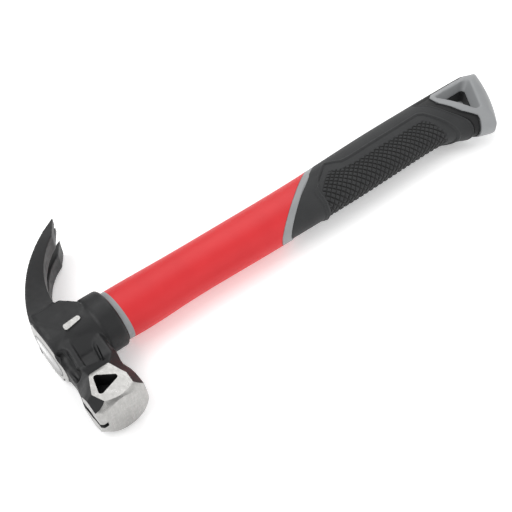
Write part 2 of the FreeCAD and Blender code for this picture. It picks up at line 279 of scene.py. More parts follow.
def shade(mesh, materials, crease, index=None):
    """Smooth shading, sharp where the surface turns by more than crease, in degrees."""
    mesh.materials.clear()
    for material in materials:
        mesh.materials.append(material)
    if index is None:
        index = np.zeros(len(mesh.polygons), np.int32)
    mesh.polygons.foreach_set("material_index", index.astype(np.int32))
    mesh.polygons.foreach_set("use_smooth", np.ones(len(mesh.polygons), bool))
    mesh.set_sharp_from_angle(angle=math.radians(crease))
    mesh.update()


# Diamond pattern of the grip, used by its mesh and by its material
FRONT_CENTRE_Y = -1.2       # the pattern wraps round a line at this y
GRIP_RADIUS = 15.5
DIAMOND = 2.9               # spacing of the moulded grooves
GROOVE_WIDTH = 0.95
GROOVE_DEPTH = 0.5
SHADE_START = 0.62          # the painted shade and the bump of a groove start and are full at these shares of its width
SHADE_FULL = 0.25

# What the ground end of the rod shows
CORE_HALF_Y = 12.8
CORE_HALF_Z = 9.0
HIGHLIGHT_Z = 2.6              # middle line of the painted highlight, a pale streak on the rod's end
RESIN_RING = (0.70, 0.80)   # shares of the oval's square where the dark ring starts and is full


# ---------------------------------------------------------------- materials

class Nodes:
    """Short way to build a node material."""

    def __init__(self, name):
        self.material = bpy.data.materials.new(name)
        self.material.use_nodes = True
        self.tree = self.material.node_tree
        self.shader = self.tree.nodes["Principled BSDF"]
        self.place = self.tree.nodes.new("ShaderNodeTexCoord").outputs["Object"]
        self.parts = []

    def set(self, **values):
        for key, value in values.items():
            self.shader.inputs[key.replace("_", " ")].default_value = value

    def link(self, output, key):
        self.tree.links.new(output, self.shader.inputs[key])

    def stretched(self, scale):
        node = self.tree.nodes.new("ShaderNodeMapping")
        node.inputs["Scale"].default_value = scale
        self.tree.links.new(self.place, node.inputs["Vector"])
        return node.outputs["Vector"]

    def noise(self, scale, detail=3.0, stretch=(1, 1, 1), roughness=0.5):
        node = self.tree.nodes.new("ShaderNodeTexNoise")
        node.inputs["Scale"].default_value = scale
        node.inputs["Detail"].default_value = detail
        node.inputs["Roughness"].default_value = roughness
        self.tree.links.new(self.stretched(stretch), node.inputs["Vector"])
        return node.outputs["Fac"]

    def remap(self, value, low, high, to_low, to_high):
        node = self.tree.nodes.new("ShaderNodeMapRange")
        for key, number in zip(("From Min", "From Max", "To Min", "To Max"),
                               (low, high, to_low, to_high)):
            node.inputs[key].default_value = number
        self.tree.links.new(value, node.inputs["Value"])
        return node.outputs["Result"]

    def local(self, axis, origin):
        """One coordinate in the hammer's own frame, in millimetres."""
        if not self.parts:
            split = self.tree.nodes.new("ShaderNodeSeparateXYZ")
            self.tree.links.new(self.place, split.inputs[0])
            self.parts = list(split.outputs)
        return self.math("DIVIDE", self.math("SUBTRACT", self.parts[axis], origin), MM)

    def math(self, operation, *values):
        node = self.tree.nodes.new("ShaderNodeMath")
        node.operation = operation
        for socket, value in zip(node.inputs, values):
            if isinstance(value, (int, float)):
                socket.default_value = value
            else:
                self.tree.links.new(value, socket)
        return node.outputs[0]

    def mix(self, factor, first, second):
        node = self.tree.nodes.new("ShaderNodeMix")
        node.data_type = "RGBA"
        self.tree.links.new(factor, node.inputs["Factor"])
        for key, colour in ((6, first), (7, second)):
            if isinstance(colour, tuple):
                node.inputs[key].default_value = (*colour, 1.0)
            else:
                self.tree.links.new(colour, node.inputs[key])
        return node.outputs[2]

    def edges(self, low, high):
        """How convex the surface is, from 0 to 1."""
        node = self.tree.nodes.new("ShaderNodeNewGeometry")
        return self.remap(node.outputs["Pointiness"], low, high, 0.0, 1.0)

    def bump(self, heights):
        """heights is a list of (value, depth in millimetres)."""
        normal = None
        for value, depth in heights:
            node = self.tree.nodes.new("ShaderNodeBump")
            node.inputs["Distance"].default_value = depth * MM
            node.inputs["Strength"].default_value = 1.0
            self.tree.links.new(value, node.inputs["Height"])
            if normal is not None:
                self.tree.links.new(normal, node.inputs["Normal"])
            normal = node.outputs["Normal"]
        self.link(normal, "Normal")


def ground_steel():
    """Bare steel off a grinding belt: fine scratches, slightly mottled."""
    n = Nodes("ground_steel")
    n.set(Metallic=1.0, IOR=2.5)
    grain = n.noise(1400, 4, (1.0, 0.35, 0.12), 0.7)
    mottle = n.noise(420, 3)
    colour = n.mix(n.remap(mottle, 0.3, 0.7, 0, 1), (0.365, 0.36, 0.35), (0.44, 0.435, 0.425))
    colour = n.mix(n.remap(grain, 0.35, 0.75, 0, 0.5), colour, (0.30, 0.295, 0.285))
    n.link(colour, "Base Color")
    n.link(n.remap(grain, 0.3, 0.7, 0.24, 0.38), "Roughness")
    n.bump([(grain, 0.018), (mottle, 0.012)])
    return n.material


def black_lacquer():
    """Baked black lacquer over a forged skin, a little lighter on its convex edges."""
    n = Nodes("black_lacquer")
    n.set(IOR=1.5, Specular_IOR_Level=0.38)
    fine = n.noise(2600, 2)
    skin = n.noise(260, 4)
    cloud = n.noise(45, 3)
    colour = n.mix(n.remap(cloud, 0.3, 0.7, 0, 1), (0.0075, 0.0077, 0.0084),
                   (0.012, 0.0124, 0.0132))
    colour = n.mix(n.edges(0.52, 0.60), colour, (0.04, 0.041, 0.042))
    n.link(colour, "Base Color")
    n.link(n.remap(skin, 0.3, 0.7, 0.42, 0.56), "Roughness")
    n.bump([(skin, 0.05), (fine, 0.012)])
    return n.material


def plastic(name, dark, light, roughness, grain=0.02, specular=0.5):
    """Moulded plastic with a fine spark-eroded grain."""
    n = Nodes(name)
    n.set(IOR=1.48, Specular_IOR_Level=specular)
    fine = n.noise(2300, 2)
    cloud = n.noise(38, 3)
    colour = n.mix(n.remap(cloud, 0.3, 0.7, 0, 1), dark, light)
    n.link(colour, "Base Color")
    n.link(n.remap(fine, 0.3, 0.7, roughness - 0.06, roughness + 0.06), "Roughness")
    n.bump([(fine, grain), (cloud, 0.12)])
    return n.material


def rubber(name, dark, light, field=False):
    """Matt black elastomer with painted shade in its hollows; field is the patch of diamonds."""
    n = Nodes(name)
    n.set(IOR=1.45, Specular_IOR_Level=0.35, Sheen_Weight=0.06, Sheen_Roughness=0.6)
    fine = n.noise(2100, 3)
    cloud = n.noise(60, 3)
    colour = n.mix(n.remap(cloud, 0.3, 0.7, 0, 1), dark, light)
    # painted shade: concave places are drawn toward near black
    colour = n.mix(n.edges(0.46, 0.40), colour, (0.004, 0.004, 0.004))
    heights = [(fine, 0.02)]
    if field:
        groove = diamond_grooves(n)
        # painted shade: the grooves between the diamonds are drawn near black
        colour = n.mix(groove, colour, (0.003, 0.003, 0.003))
        heights.append((n.remap(groove, 0, 1, 1, 0), 0.25))
    n.link(colour, "Base Color")
    n.link(n.remap(fine, 0.3, 0.7, 0.62, 0.78), "Roughness")
    n.bump(heights)
    return n.material


def diamond_grooves(n):
    """1 in the moulded grooves of the grip and 0 on the diamonds between them."""
    along = n.local(0, ORIGIN.x)
    across = n.local(1, ORIGIN.y)
    high = n.local(2, ORIGIN.z)
    angle = n.math("ARCTAN2", n.math("ABSOLUTE", high),
                   n.math("SUBTRACT", FRONT_CENTRE_Y, across))
    around = n.math("MULTIPLY", angle, GRIP_RADIUS)
    families = []
    for way in ("ADD", "SUBTRACT"):
        turns = n.math("DIVIDE", n.math(way, along, around), DIAMOND * math.sqrt(2))
        offset = n.math("ABSOLUTE", n.math("SUBTRACT", n.math("FRACT", turns), 0.5))
        families.append(n.remap(offset, GROOVE_WIDTH * SHADE_START / DIAMOND,
                                GROOVE_WIDTH * SHADE_FULL / DIAMOND, 0.0, 1.0))
    return n.math("MAXIMUM", *families)


def fibreglass():
    """Ground end of the rod: dark resin round it, black towards one side, and a painted highlight,
    a pale streak, on the other.
    """
    n = Nodes("fibreglass_end")
    n.set(IOR=1.55, Coat_Weight=0.6, Coat_Roughness=0.15)
    across = n.local(1, ORIGIN.y)
    high = n.local(2, ORIGIN.z)
    fibres = n.noise(1900, 4, (1, 1, 1), 0.7)
    colour = n.mix(n.remap(fibres, 0.4, 0.75, 0, 1), (0.30, 0.30, 0.30), (0.16, 0.16, 0.16))
    # painted highlight: a pale streak standing in for a reflection on the glossy end
    painted_highlight = n.math("ABSOLUTE", n.math("SUBTRACT", high, HIGHLIGHT_Z))
    painted_highlight = n.math("MULTIPLY", n.remap(painted_highlight, 3.6, 1.6, 0, 1), n.remap(across, -6.0, 4.0, 0, 1))
    colour = n.mix(painted_highlight, colour, (0.80, 0.80, 0.79))
    colour = n.mix(n.remap(high, -0.6, -3.6, 0, 1), colour, (0.012, 0.012, 0.012))
    offset = n.math("SUBTRACT", across, CORE_CENTRE_Y)
    round_y = n.math("POWER", n.math("DIVIDE", offset, CORE_HALF_Y), 2.0)
    round_z = n.math("POWER", n.math("DIVIDE", high, CORE_HALF_Z), 2.0)
    share = n.math("ADD", round_y, round_z)
    colour = n.mix(n.remap(share, *RESIN_RING, 0, 1), colour, (0.010, 0.010, 0.010))
    n.link(colour, "Base Color")
    n.link(n.remap(fibres, 0.3, 0.7, 0.25, 0.4), "Roughness")
    n.bump([(fibres, 0.02)])
    return n.material


def magnet_metal():
    """Dull nickel plating."""
    n = Nodes("magnet_nickel")
    n.set(Metallic=1.0)
    fine = n.noise(900, 3)
    n.link(n.mix(n.remap(fine, 0.3, 0.7, 0, 1), (0.12, 0.12, 0.125), (0.22, 0.22, 0.225)),
           "Base Color")
    n.link(n.remap(fine, 0.3, 0.7, 0.3, 0.45), "Roughness")
    n.bump([(fine, 0.02)])
    return n.material


STEEL = ground_steel()
LACQUER = black_lacquer()
GREY = plastic("grey_moulding", (0.245, 0.252, 0.258), (0.285, 0.292, 0.298), 0.46)
RED = plastic("red_moulding", (0.59, 0.020, 0.025), (0.65, 0.026, 0.031), 0.46, 0.012, 0.36)
RUBBER_TONES = ((0.021, 0.0218, 0.0228), (0.028, 0.029, 0.030))
RUBBER = rubber("grip_rubber", *RUBBER_TONES)
RUBBER_FIELD = rubber("grip_rubber_field", *RUBBER_TONES, field=True)
RUBBER_LEDGE = rubber("grip_rubber_ledge", (0.008, 0.0083, 0.0088), (0.011, 0.0114, 0.012))
EPOXY = plastic("eye_resin", (0.012, 0.012, 0.012), (0.03, 0.03, 0.03), 0.35)


# ---------------------------------------------------------------- the head

BELL_AXIS_X = 11.7
BELL_BACK = -28.5           # the bell lies beyond this, towards the face
TOP_LAND_BACK = -30.0
BOTTOM_LAND_BACK = -29.0
FACE_RADIUS = 12.3
FACE_BEVEL = 0.2
CONE_REACH = 7.0            # radius that the cone round the face gains before it runs out
EYE_HALF_Y = 13.7
EYE_HALF_Z = 9.9
CROWN_CENTRE_Y = 1.3
CROWN_HALF_Y = 17.6
CROWN_HALF_Z = 14.3
CROWN_DOME_RADIUS = 125.0
CROWN_RISE = 1.2
CROWN_GROUND = 1.10         # the wheel reaches this far out, in shares of the crown
GROUND_ALLOWANCE = 0.45     # forged skin stands this far above the ground lands

# Limits outside the head on every side, for cutters
ABOVE, BELOW = -10.0, 40.0
BEYOND_FACE = -60.0
ASIDE = 22.0


def crown_share(y, z):
    """Distance from the crown's middle, as a share of its oval."""
    return np.hypot((y - CROWN_CENTRE_Y) / CROWN_HALF_Y, z / CROWN_HALF_Z)


def crown_x(y, z):
    """Height of the ground dome over the crown."""
    reach = CROWN_DOME_RADIUS ** 2 - (y - CROWN_CENTRE_Y) ** 2 - z ** 2
    return CROWN_DOME_RADIUS - CROWN_RISE - np.sqrt(reach)


CHEEK_TOP = 14.6            # highest flat of the cheeks
CHEEK_ROOT = 4.0            # the blocks that carry the flats start inside the head, here

# Flats of the cheek, each through three points. The cheek is highest along its ground bar:
# one flat runs from there to the claw, one falls into the neck, and one faces the crown.
CHEEK_FLATS = (
    ((10.7, -1.2, CHEEK_TOP), (20.6, 0.4, CHEEK_TOP), (13.0, -17.0, 9.2)),
    ((10.8, 1.0, CHEEK_TOP), (5.5, 9.7, CHEEK_TOP), (3.2, -5.2, 12.7)),
    ((24.9, 8.4, CHEEK_TOP), (21.0, -1.0, CHEEK_TOP), (24.5, 2.0, 12.8)),
    ((21.0, -1.0, CHEEK_TOP), (22.9, -12.0, 10.7), (23.6, -3.0, 12.4)),
    ((5.5, 9.7, CHEEK_TOP), (20.0, 11.0, CHEEK_TOP), (12.0, 18.0, 14.1)),
)
CHEEK_PLAN = ((2.6, -16.8), (2.6, 17.5), (18.2, 17.5), (25.4, 9.6), (25.4, -16.8))
RIDGE_FLATS = (
    ((5.2, -8.0, 12.9), (9.2, -8.9, 12.7), (4.6, -23.0, 10.5)),
    ((5.0, -11.0, 12.4), (4.2, -22.0, 10.5), (2.6, -16.0, 9.4)),
)
RIDGE_PLAN = ((2.4, -7.0), (9.4, -7.0), (8.3, -23.0), (2.4, -23.0))


def flat_sided(name, plan, flats, side):
    """Block over a plan in (x, y), trimmed by flats that all face up and outwards."""
    obj = prism(name, plan, *sorted((CHEEK_ROOT * side, CHEEK_TOP * side)))
    bm = bmesh.new()
    bm.from_mesh(obj.data)
    for flat in flats:
        a, b, c = [at(x, y, z * side) for x, y, z in flat]
        normal = (b - a).cross(c - a)
        if normal.z * side < 0:
            normal = -normal
        everything = bm.verts[:] + bm.edges[:] + bm.faces[:]
        cut = bmesh.ops.bisect_plane(bm, geom=everything, plane_co=a, plane_no=normal,
                                     clear_outer=True)
        rim = [e for e in cut["geom_cut"] if isinstance(e, bmesh.types.BMEdge)]
        bmesh.ops.holes_fill(bm, edges=rim)
    bmesh.ops.recalc_face_normals(bm, faces=bm.faces)
    bm.to_mesh(obj.data)
    bm.free()
    return obj


def with_flats(mesh):
    """The CAD mesh with the cheek's flats added as overlapping blocks."""
    bm = bmesh.new()
    bm.from_mesh(mesh)
    for side in (1, -1):
        for name, plan, flats in (("cheek", CHEEK_PLAN, CHEEK_FLATS),
                                  ("ridge", RIDGE_PLAN, RIDGE_FLATS)):
            pad = flat_sided(name, plan, flats, side)
            bm.from_mesh(pad.data)
            used = pad.data
            bpy.data.objects.remove(pad)
            bpy.data.meshes.remove(used)
    bm.to_mesh(mesh)
    bm.free()


HEAD_VOXEL = 0.42
HEAD_CREASE = 30.0
EASING_ROUNDS = 8
EASING = 0.22               # how far most of the head is smoothed, where its middle is 1
EASING_TIPS = 0.14
TIPS_Y = 58.0
MIDDLE_TO_BELL = (-33.0, -29.0)     # where the middle's smoothing fades in, along y
MIDDLE_TO_CLAW = (24.0, 16.0)
MIDDLE_TO_RIM = (36.5, 34.0)        # and along x
SCOOP = ((-12.5, 10.5), (-23.5, 7.0))   # hollow behind the crown, path in (y, distance from z 0)
SCOOP_X = 3.0
SCOOP_RADIUS = 4.2
SCOOP_DEPTH = 2.8


def forged_blank():
    """The CAD head with forging radii, and a skin left on where it will be ground."""
    obj = remeshed("head_forging_skin", "head_forging", HEAD_VOXEL, with_flats)
    mesh = obj.data
    x, y, z = local_coordinates(mesh).T
    middle = ramp(y, *MIDDLE_TO_BELL) * ramp(y, *MIDDLE_TO_CLAW) * ramp(x, *MIDDLE_TO_RIM)
    weight = EASING + (1.0 - EASING) * middle
    weight = np.where(y > TIPS_Y, EASING_TIPS, weight)
    relax(mesh, EASING_ROUNDS, weight)

    x, y, z = local_coordinates(mesh).T
    scoop = np.hypot(distance_to_path(y, np.abs(z), SCOOP), np.maximum(0.0, x - SCOOP_X))
    hollow = SCOOP_DEPTH * ramp(scoop, SCOOP_RADIUS, 0.6)
    bell = ramp(y, BELL_BACK - 1.0, BELL_BACK - 5.0)
    crown = ramp(x, 3.2, 1.0) * ramp(crown_share(y, z), 1.12, 1.02)
    grow = GROUND_ALLOWANCE * np.maximum(bell, crown) - hollow
    co = coordinates(mesh) + vertex_normals(mesh) * (grow * MM)[:, None]
    set_coordinates(mesh, co)
    return obj


def lathe(name, profile, steps=128):
    """Closed ring about the bell's axis, from a closed profile of (radius, y)."""
    bm = bmesh.new()
    rings = []
    for k in range(steps):
        angle = 2 * math.pi * k / steps
        rings.append([bm.verts.new(at(BELL_AXIS_X + r * math.cos(angle), y, r * math.sin(angle)))
                      for r, y in profile])
    count = len(profile)
    for k in range(steps):
        here, after = rings[k], rings[(k + 1) % steps]
        for i in range(count):
            j = (i + 1) % count
            bm.faces.new((here[i], here[j], after[j], after[i]))
    bmesh.ops.recalc_face_normals(bm, faces=bm.faces)
    mesh = bpy.data.meshes.new(name)
    bm.to_mesh(mesh)
    bm.free()
    return new_object(name, mesh)


OVAL_STEPS = 96


def crown_waste():
    """What is ground off the crown: an oval lid whose underside follows the dome."""
    rings = []
    for share in (CROWN_GROUND, 1.0, 0.85, 0.7, 0.55, 0.4, 0.25, 0.1):
        ring = []
        for k in range(OVAL_STEPS):
            angle = 2 * math.pi * k / OVAL_STEPS
            y = CROWN_CENTRE_Y + share * CROWN_HALF_Y * math.cos(angle)
            z = share * CROWN_HALF_Z * math.sin(angle)
            ring.append((float(crown_x(y, z)), y, z))
        rings.append(ring)
    rings.insert(0, [(ABOVE, y, z) for _, y, z in rings[0]])
    return solid_from_rings("crown_waste", rings)


def ground_cuts():
    """Everything the grinding wheels take off."""
    rim = FACE_RADIUS - 0.5
    clear = FACE_RADIUS + ASIDE
    cone_back = FACE_Y + CONE_REACH
    ring = [(rim, FACE_Y), (FACE_RADIUS + FACE_BEVEL, FACE_Y + FACE_BEVEL),
            (FACE_RADIUS + CONE_REACH, cone_back), (clear, cone_back),
            (clear, BEYOND_FACE), (rim, BEYOND_FACE)]
    return [
        block("top", (ABOVE, LAND_TOP), (BEYOND_FACE, TOP_LAND_BACK), (-ASIDE, ASIDE)),
        block("bottom", (LAND_BOTTOM, BELOW), (BEYOND_FACE, BOTTOM_LAND_BACK), (-ASIDE, ASIDE)),
        block("near", (ABOVE, BELOW), (BEYOND_FACE, BELL_BACK), (LAND_SIDE, ASIDE)),
        block("far", (ABOVE, BELOW), (BEYOND_FACE, BELL_BACK), (-ASIDE, -LAND_SIDE)),
        block("face", (ABOVE, BELOW), (BEYOND_FACE, FACE_Y), (-ASIDE, ASIDE)),
        lathe("cone", ring),
        crown_waste(),
    ]


POCKET_OUTLINE = rounded(((7.2, -32.8), (18.2, -41.0), (3.8, -45.5)), 1.5)
POCKET_FLOOR = 4.5
GROOVE_HALF = 1.45
GROOVE_FLOOR = 1.8
GROOVE_END = -40.0
MAGNET_HALF = 2.5
MAGNET_Y = (-44.4, -34.0)
MAGNET_DEPTH = 5.0
MAGNET_CORNER = 0.8


def rectangle(first, second, half):
    """Corners between two places along y, half to each side of z 0."""
    return (first, -half), (second, -half), (second, half), (first, half)


def starter_cuts():
    """Nail groove along the top land, and the pocket for the magnet at its inner end."""
    groove = rectangle(BEYOND_FACE, GROOVE_END, GROOVE_HALF)
    pocket = rounded(rectangle(*MAGNET_Y, MAGNET_HALF), MAGNET_CORNER)
    floor = LAND_TOP + MAGNET_DEPTH
    return [
        solid_from_rings("groove", [[(x, y, z) for y, z in groove] for x in (ABOVE, GROOVE_FLOOR)]),
        solid_from_rings("pocket", [[(x, y, z) for y, z in pocket] for x in (ABOVE, floor)]),
    ]


RIB_LINE = curved([(19.4, -15.0), (17.8, -22.4), (16.4, -28.8)])    # groove along the neck's rib
RIB_FLOOR = 9.6
RIB_RIM = 11.6
RIB_HALF = 1.1


def rib_groove(side):
    """V groove along one cheek of the neck, following RIB_LINE."""
    rings = []
    count = len(RIB_LINE)
    for i, (x, y) in enumerate(RIB_LINE):
        ahead = np.array(RIB_LINE[min(i + 1, count - 1)]) - np.array(RIB_LINE[max(i - 1, 0)])
        across = np.array((-ahead[1], ahead[0])) / np.linalg.norm(ahead)
        fade = math.sin(math.pi * (i + 0.6) / (count + 0.2)) ** 0.5
        low, high = [(x + k * across[0], y + k * across[1]) for k in (-RIB_HALF, RIB_HALF)]
        floor = RIB_RIM - fade * (RIB_RIM - RIB_FLOOR)
        rings.append([(x, y, floor * side), (*low, RIB_RIM * side), (*high, RIB_RIM * side)])
    return solid_from_rings("rib_groove", rings)


def eye_cut():
    """The oval hole that the handle goes into, right through the head."""
    ring = []
    for k in range(OVAL_STEPS):
        angle = 2 * math.pi * k / OVAL_STEPS
        ring.append((CORE_CENTRE_Y + EYE_HALF_Y * math.cos(angle), EYE_HALF_Z * math.sin(angle)))
    return solid_from_rings("eye", [[(x, y, z) for y, z in ring] for x in (ABOVE, 60.0)])


BAR_OUTLINE = rounded(((10.7, 1.1), (10.5, -3.1), (20.6, -0.9), (20.8, 2.1)), 1.35)
BAR_ROOT = 11.0
BAR_TOP = 14.99
BAR_BEVEL = 0.2


def cheek_bar(side):
    """Ground bar on one cheek, with a small bevel round its top."""
    centre = np.mean(BAR_OUTLINE, axis=0)
    rings = []
    for z, inset in ((BAR_ROOT, 0.0), (BAR_TOP - BAR_BEVEL, 0.0), (BAR_TOP, BAR_BEVEL)):
        ring = []
        for point in BAR_OUTLINE:
            inward = centre - np.array(point)
            spot = np.array(point) + inward / np.linalg.norm(inward) * inset
            ring.append((spot[0], spot[1], z * side))
        rings.append(ring)
    return solid_from_rings("bar", rings)


def ground_faces(mesh):
    """Which faces of the head are ground bare: the lands, face, cone, crown and cheek bars."""
    centres, normals = face_facts(mesh)
    x, y, z = centres.T
    near = 0.01
    flat = 0.99
    lands = (np.abs(np.abs(z) - LAND_SIDE) < near) & (np.abs(normals[:, 2]) > flat)
    for land in (LAND_TOP, LAND_BOTTOM):
        lands |= (np.abs(x - land) < near) & (np.abs(normals[:, 0]) > flat)
    radius = np.hypot(x - BELL_AXIS_X, z)
    cone = np.abs((radius - FACE_RADIUS) - (y - FACE_Y)) < 0.05
    cone &= radius > FACE_RADIUS - 0.1
    ground = (y < BELL_BACK) & (lands | cone)
    ground |= y < FACE_Y + 0.95 * FACE_BEVEL
    dome = (np.abs(x - crown_x(y, z)) < 0.04) & (normals[:, 0] < -0.9)
    ground |= dome & (crown_share(y, z) < CROWN_GROUND)
    ground |= (np.abs(z) > BAR_TOP - 1.1 * BAR_BEVEL) & inside(x, y, BAR_OUTLINE)
    return ground.astype(np.int32)


def head():
    """The forged head: eased, ground, pocketed, and lacquered where it isn't ground."""
    obj = forged_blank()
    combine(obj, ground_cuts(), "DIFFERENCE")
    pockets = [prism("pocket", POCKET_OUTLINE, POCKET_FLOOR, ASIDE),
               prism("pocket", POCKET_OUTLINE, -ASIDE, -POCKET_FLOOR)]
    ribs = [rib_groove(1), rib_groove(-1)]
    combine(obj, pockets + ribs + starter_cuts() + [eye_cut()], "DIFFERENCE")
    combine(obj, [cheek_bar(1), cheek_bar(-1)], "UNION")
    shade(obj.data, [LACQUER, STEEL], HEAD_CREASE, ground_faces(obj.data))
    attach(obj, "root")
    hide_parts("head_forging")


# ---------------------------------------------------------------- the handle


# Moulded outlines on each side of the grip, in (x, y): the diamond patch, the shallow recess
# round it, the lower strip at the grip's start and the low ledge round the pommel.
PATCH = [(190.0, 0.6), (197.0, -3.0), (206.0, -3.9), (224.5, -3.6), (252.0, -3.8), (264.5, -4.2),
         (268.0, -7.5), (270.0, -11.8), (273.0, -17.6), (275.5, -24.0), (275.5, -32.0),
         (174.5, -32.0), (175.2, -16.7), (175.4, -12.9), (176.4, -8.9), (182.0, -4.4)]
RECESS = ([(174.2, -34.0), (174.2, -18.0)]
          + curved([(174.6, -13.0), (174.8, -8.4), (180.0, -1.6), (186.5, 3.2)])
          + [(192.6, 7.4), (196.5, 4.6)]
          + curved([(201.0, 1.2), (209.0, 0.8), (232.5, 1.1), (252.0, 1.2), (265.5, 1.4)])
          + [(268.6, -0.8)]
          + curved([(273.0, -8.7), (276.5, -14.2), (279.6, -19.6), (281.5, -23.0)])
          + [(283.0, -34.0)])
START = ([(100.0, -34.0), (171.3, -34.0)]
         + curved([(171.2, -17.0), (171.6, -7.8), (176.5, -4.6), (184.0, 0.8), (191.0, 6.0)])
         + [(196.0, 17.0), (196.0, 24.0), (100.0, 24.0)])
BAND_END = 170.2            # slanted start of the rubber, where it crosses the centreline
BAND_SLOPE = 1.44
BAND_REACH = 40.0
LEDGE = ([(274.5, 24.0), (273.6, 14.0)]
         + curved([(274.6, 9.4), (278.0, 3.4), (280.0, -1.9), (283.2, -9.0), (286.6, -14.6),
                   (290.2, -20.4), (291.0, -24.0)])
         + [(290.0, -36.0), (350.0, -36.0), (350.0, 24.0)])

# Depths of the moulded steps, and the slight swell and the crack that run along them
RECESS_DEPTH = 0.7
LEDGE_DEPTH = 1.1
START_DEPTH = 0.6
STEP_HALF = 0.25            # a step comes down over twice this width
LIP = 1.3                   # width of the swell
LIP_HEIGHT = 0.35
CRACK_PLACE = 0.35
CRACK_HALF = 0.6
CRACK_DEPTH = 0.6

# The ledge is of darker rubber, up to LEDGE_TOP, and past LEDGE_NOSE up to LEDGE_NOSE_TOP
LEDGE_INSET = 0.2
LEDGE_TOP = 12.5
LEDGE_NOSE_TOP = 15.5
LEDGE_NOSE = 286.0

# The grip is an oval over the hidden tube of grey moulding. The rubber is thickened inwards and
# the tube drawn slimmer, so that the moulded steps never cut down to it.
GRIP_HALF_Y = 16.0
GRIP_HALF_Z = 12.0
BORE_HALF_Y = 14.8
BORE_HALF_Z = 11.0
BORE_INSET = 1.2
BORE_END = 300.0
TUBE_HALF_Y = 13.3
TUBE_HALF_Z = 9.5
TUBE_SLIMMING = 1.5
THINNEST = 0.6
TRIM_ALLOWANCE = 3.0        # rubber carried on past its start, to be trimmed off square
GRIP_VOXEL = 0.33
MOULDING_CREASE = 60.0


def oval_share(y, z, half_y, half_z):
    """Distance from the middle of the handle, as a share of an oval about it."""
    return np.hypot((y - CORE_CENTRE_Y) / half_y, z / half_z)


def step(distance, depth, crack=0.0):
    """Depth of a step down across an outline, with a swell outside it and a crack under it."""
    return (depth * ramp(distance, STEP_HALF, -STEP_HALF)
            - LIP_HEIGHT * ramp(np.abs(distance - STEP_HALF - LIP / 2), LIP / 2 + 0.2, 0.0)
            + crack * ramp(np.abs(distance + CRACK_PLACE), CRACK_HALF, 0.0))


def run_on(mesh):
    """Thickens the rubber inwards, and carries its slanted start on for a true trim later."""
    x, y, z = local_coordinates(mesh).T
    co = coordinates(mesh)
    bore = np.abs(oval_share(y, z, BORE_HALF_Y, BORE_HALF_Z) - 1) < 0.012
    bore &= x < BORE_END
    inward = (BORE_INSET * MM) * bore / np.maximum(np.hypot(y - CORE_CENTRE_Y, z), 1.0)
    co[:, 1] -= inward * (y - CORE_CENTRE_Y)
    co[:, 2] -= inward * z
    co[np.abs(x - BAND_SLOPE * y - BAND_END) < 0.05, 0] -= TRIM_ALLOWANCE * MM
    set_coordinates(mesh, co)


def before_grip():
    """Everything on the head's side of the slanted start."""
    outline = ((BAND_END + BAND_SLOPE * BAND_REACH, BAND_REACH),
               (BAND_END - BAND_SLOPE * BAND_REACH, -BAND_REACH),
               (60.0, -BAND_REACH), (60.0, BAND_REACH))
    return prism("before_grip", outline, -ASIDE, ASIDE)


def groove_relief(x, y, z):
    """1 in the grooves between the moulded diamonds, 0 on the diamonds."""
    around = np.arctan2(np.abs(z), FRONT_CENTRE_Y - y) * GRIP_RADIUS
    relief = np.zeros(len(x))
    for turns in ((x + around) / math.sqrt(2) / DIAMOND, (x - around) / math.sqrt(2) / DIAMOND):
        offset = np.abs(turns % 1.0 - 0.5) * DIAMOND
        relief = np.maximum(relief, ramp(offset, GROOVE_WIDTH, 0.15))
    return relief


def moulded_depth(x, y, z, normals):
    """How far the moulded detail goes into the rubber, nowhere down to the tube."""
    depth = GROOVE_DEPTH * ramp(signed_distance(x, y, PATCH), 0.3, -0.3) * groove_relief(x, y, z)
    depth += step(signed_distance(x, y, RECESS), RECESS_DEPTH)
    depth += step(signed_distance(x, y, LEDGE), LEDGE_DEPTH, CRACK_DEPTH) * ramp(y, 14.0, 11.0)
    depth += START_DEPTH * ramp(signed_distance(x, y, START), 0.4, -0.4) * ramp(y, 8.0, 2.0)
    outward = normals[:, 1] * (y - FRONT_CENTRE_Y) + normals[:, 2] * z
    skin = ramp(outward, 2.0, 6.0) * ramp(oval_share(y, z, GRIP_HALF_Y, GRIP_HALF_Z), 0.86, 0.93)
    share = oval_share(y, z, TUBE_HALF_Y, TUBE_HALF_Z)
    cover = np.hypot(y - CORE_CENTRE_Y, z) * (1 - 1 / np.maximum(share, 0.1))
    return np.minimum(depth * skin, np.maximum(cover - THINNEST, 0.0))


def grip():
    """Rubber grip with its diamond field, the recess round it and the ledge at the pommel."""
    obj = remeshed("rubber_grip_skin", "rubber_grip", GRIP_VOXEL, run_on)
    mesh = obj.data
    relax(mesh, 4, np.full(len(mesh.vertices), 0.5))
    x, y, z = local_coordinates(mesh).T
    spine = ramp(y, 10.0, 13.0) * np.maximum(ramp(x, 288.0, 280.0), ramp(np.abs(z), 3.0, 2.0))
    relax(mesh, 14, 0.8 * spine)
    normals = vertex_normals(mesh)
    depth = moulded_depth(*local_coordinates(mesh).T, normals)
    set_coordinates(mesh, coordinates(mesh) - normals * (depth * MM)[:, None])
    combine(obj, [before_grip()], "DIFFERENCE")

    centres, _ = face_facts(obj.data)
    x, y, z = centres.T
    outer = oval_share(y, z, GRIP_HALF_Y, GRIP_HALF_Z) > 0.9
    field = outer & (signed_distance(x, y, PATCH) < 0.0)
    top = np.where(x > LEDGE_NOSE, LEDGE_NOSE_TOP, LEDGE_TOP)
    ledge = (signed_distance(x, y, LEDGE) < -LEDGE_INSET) & (y < top)
    shade(obj.data, [RUBBER, RUBBER_FIELD, RUBBER_LEDGE], MOULDING_CREASE, field + 2 * ledge)
    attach(obj, "root")
    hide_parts("rubber_grip")


HEEL = (332.0, 16.5)        # corner of the pommel, drawn in by HEEL_EASE
HEEL_EASE = 1.5
HEEL_RADIUS = 9.0
POMMEL_VOXEL = 0.36


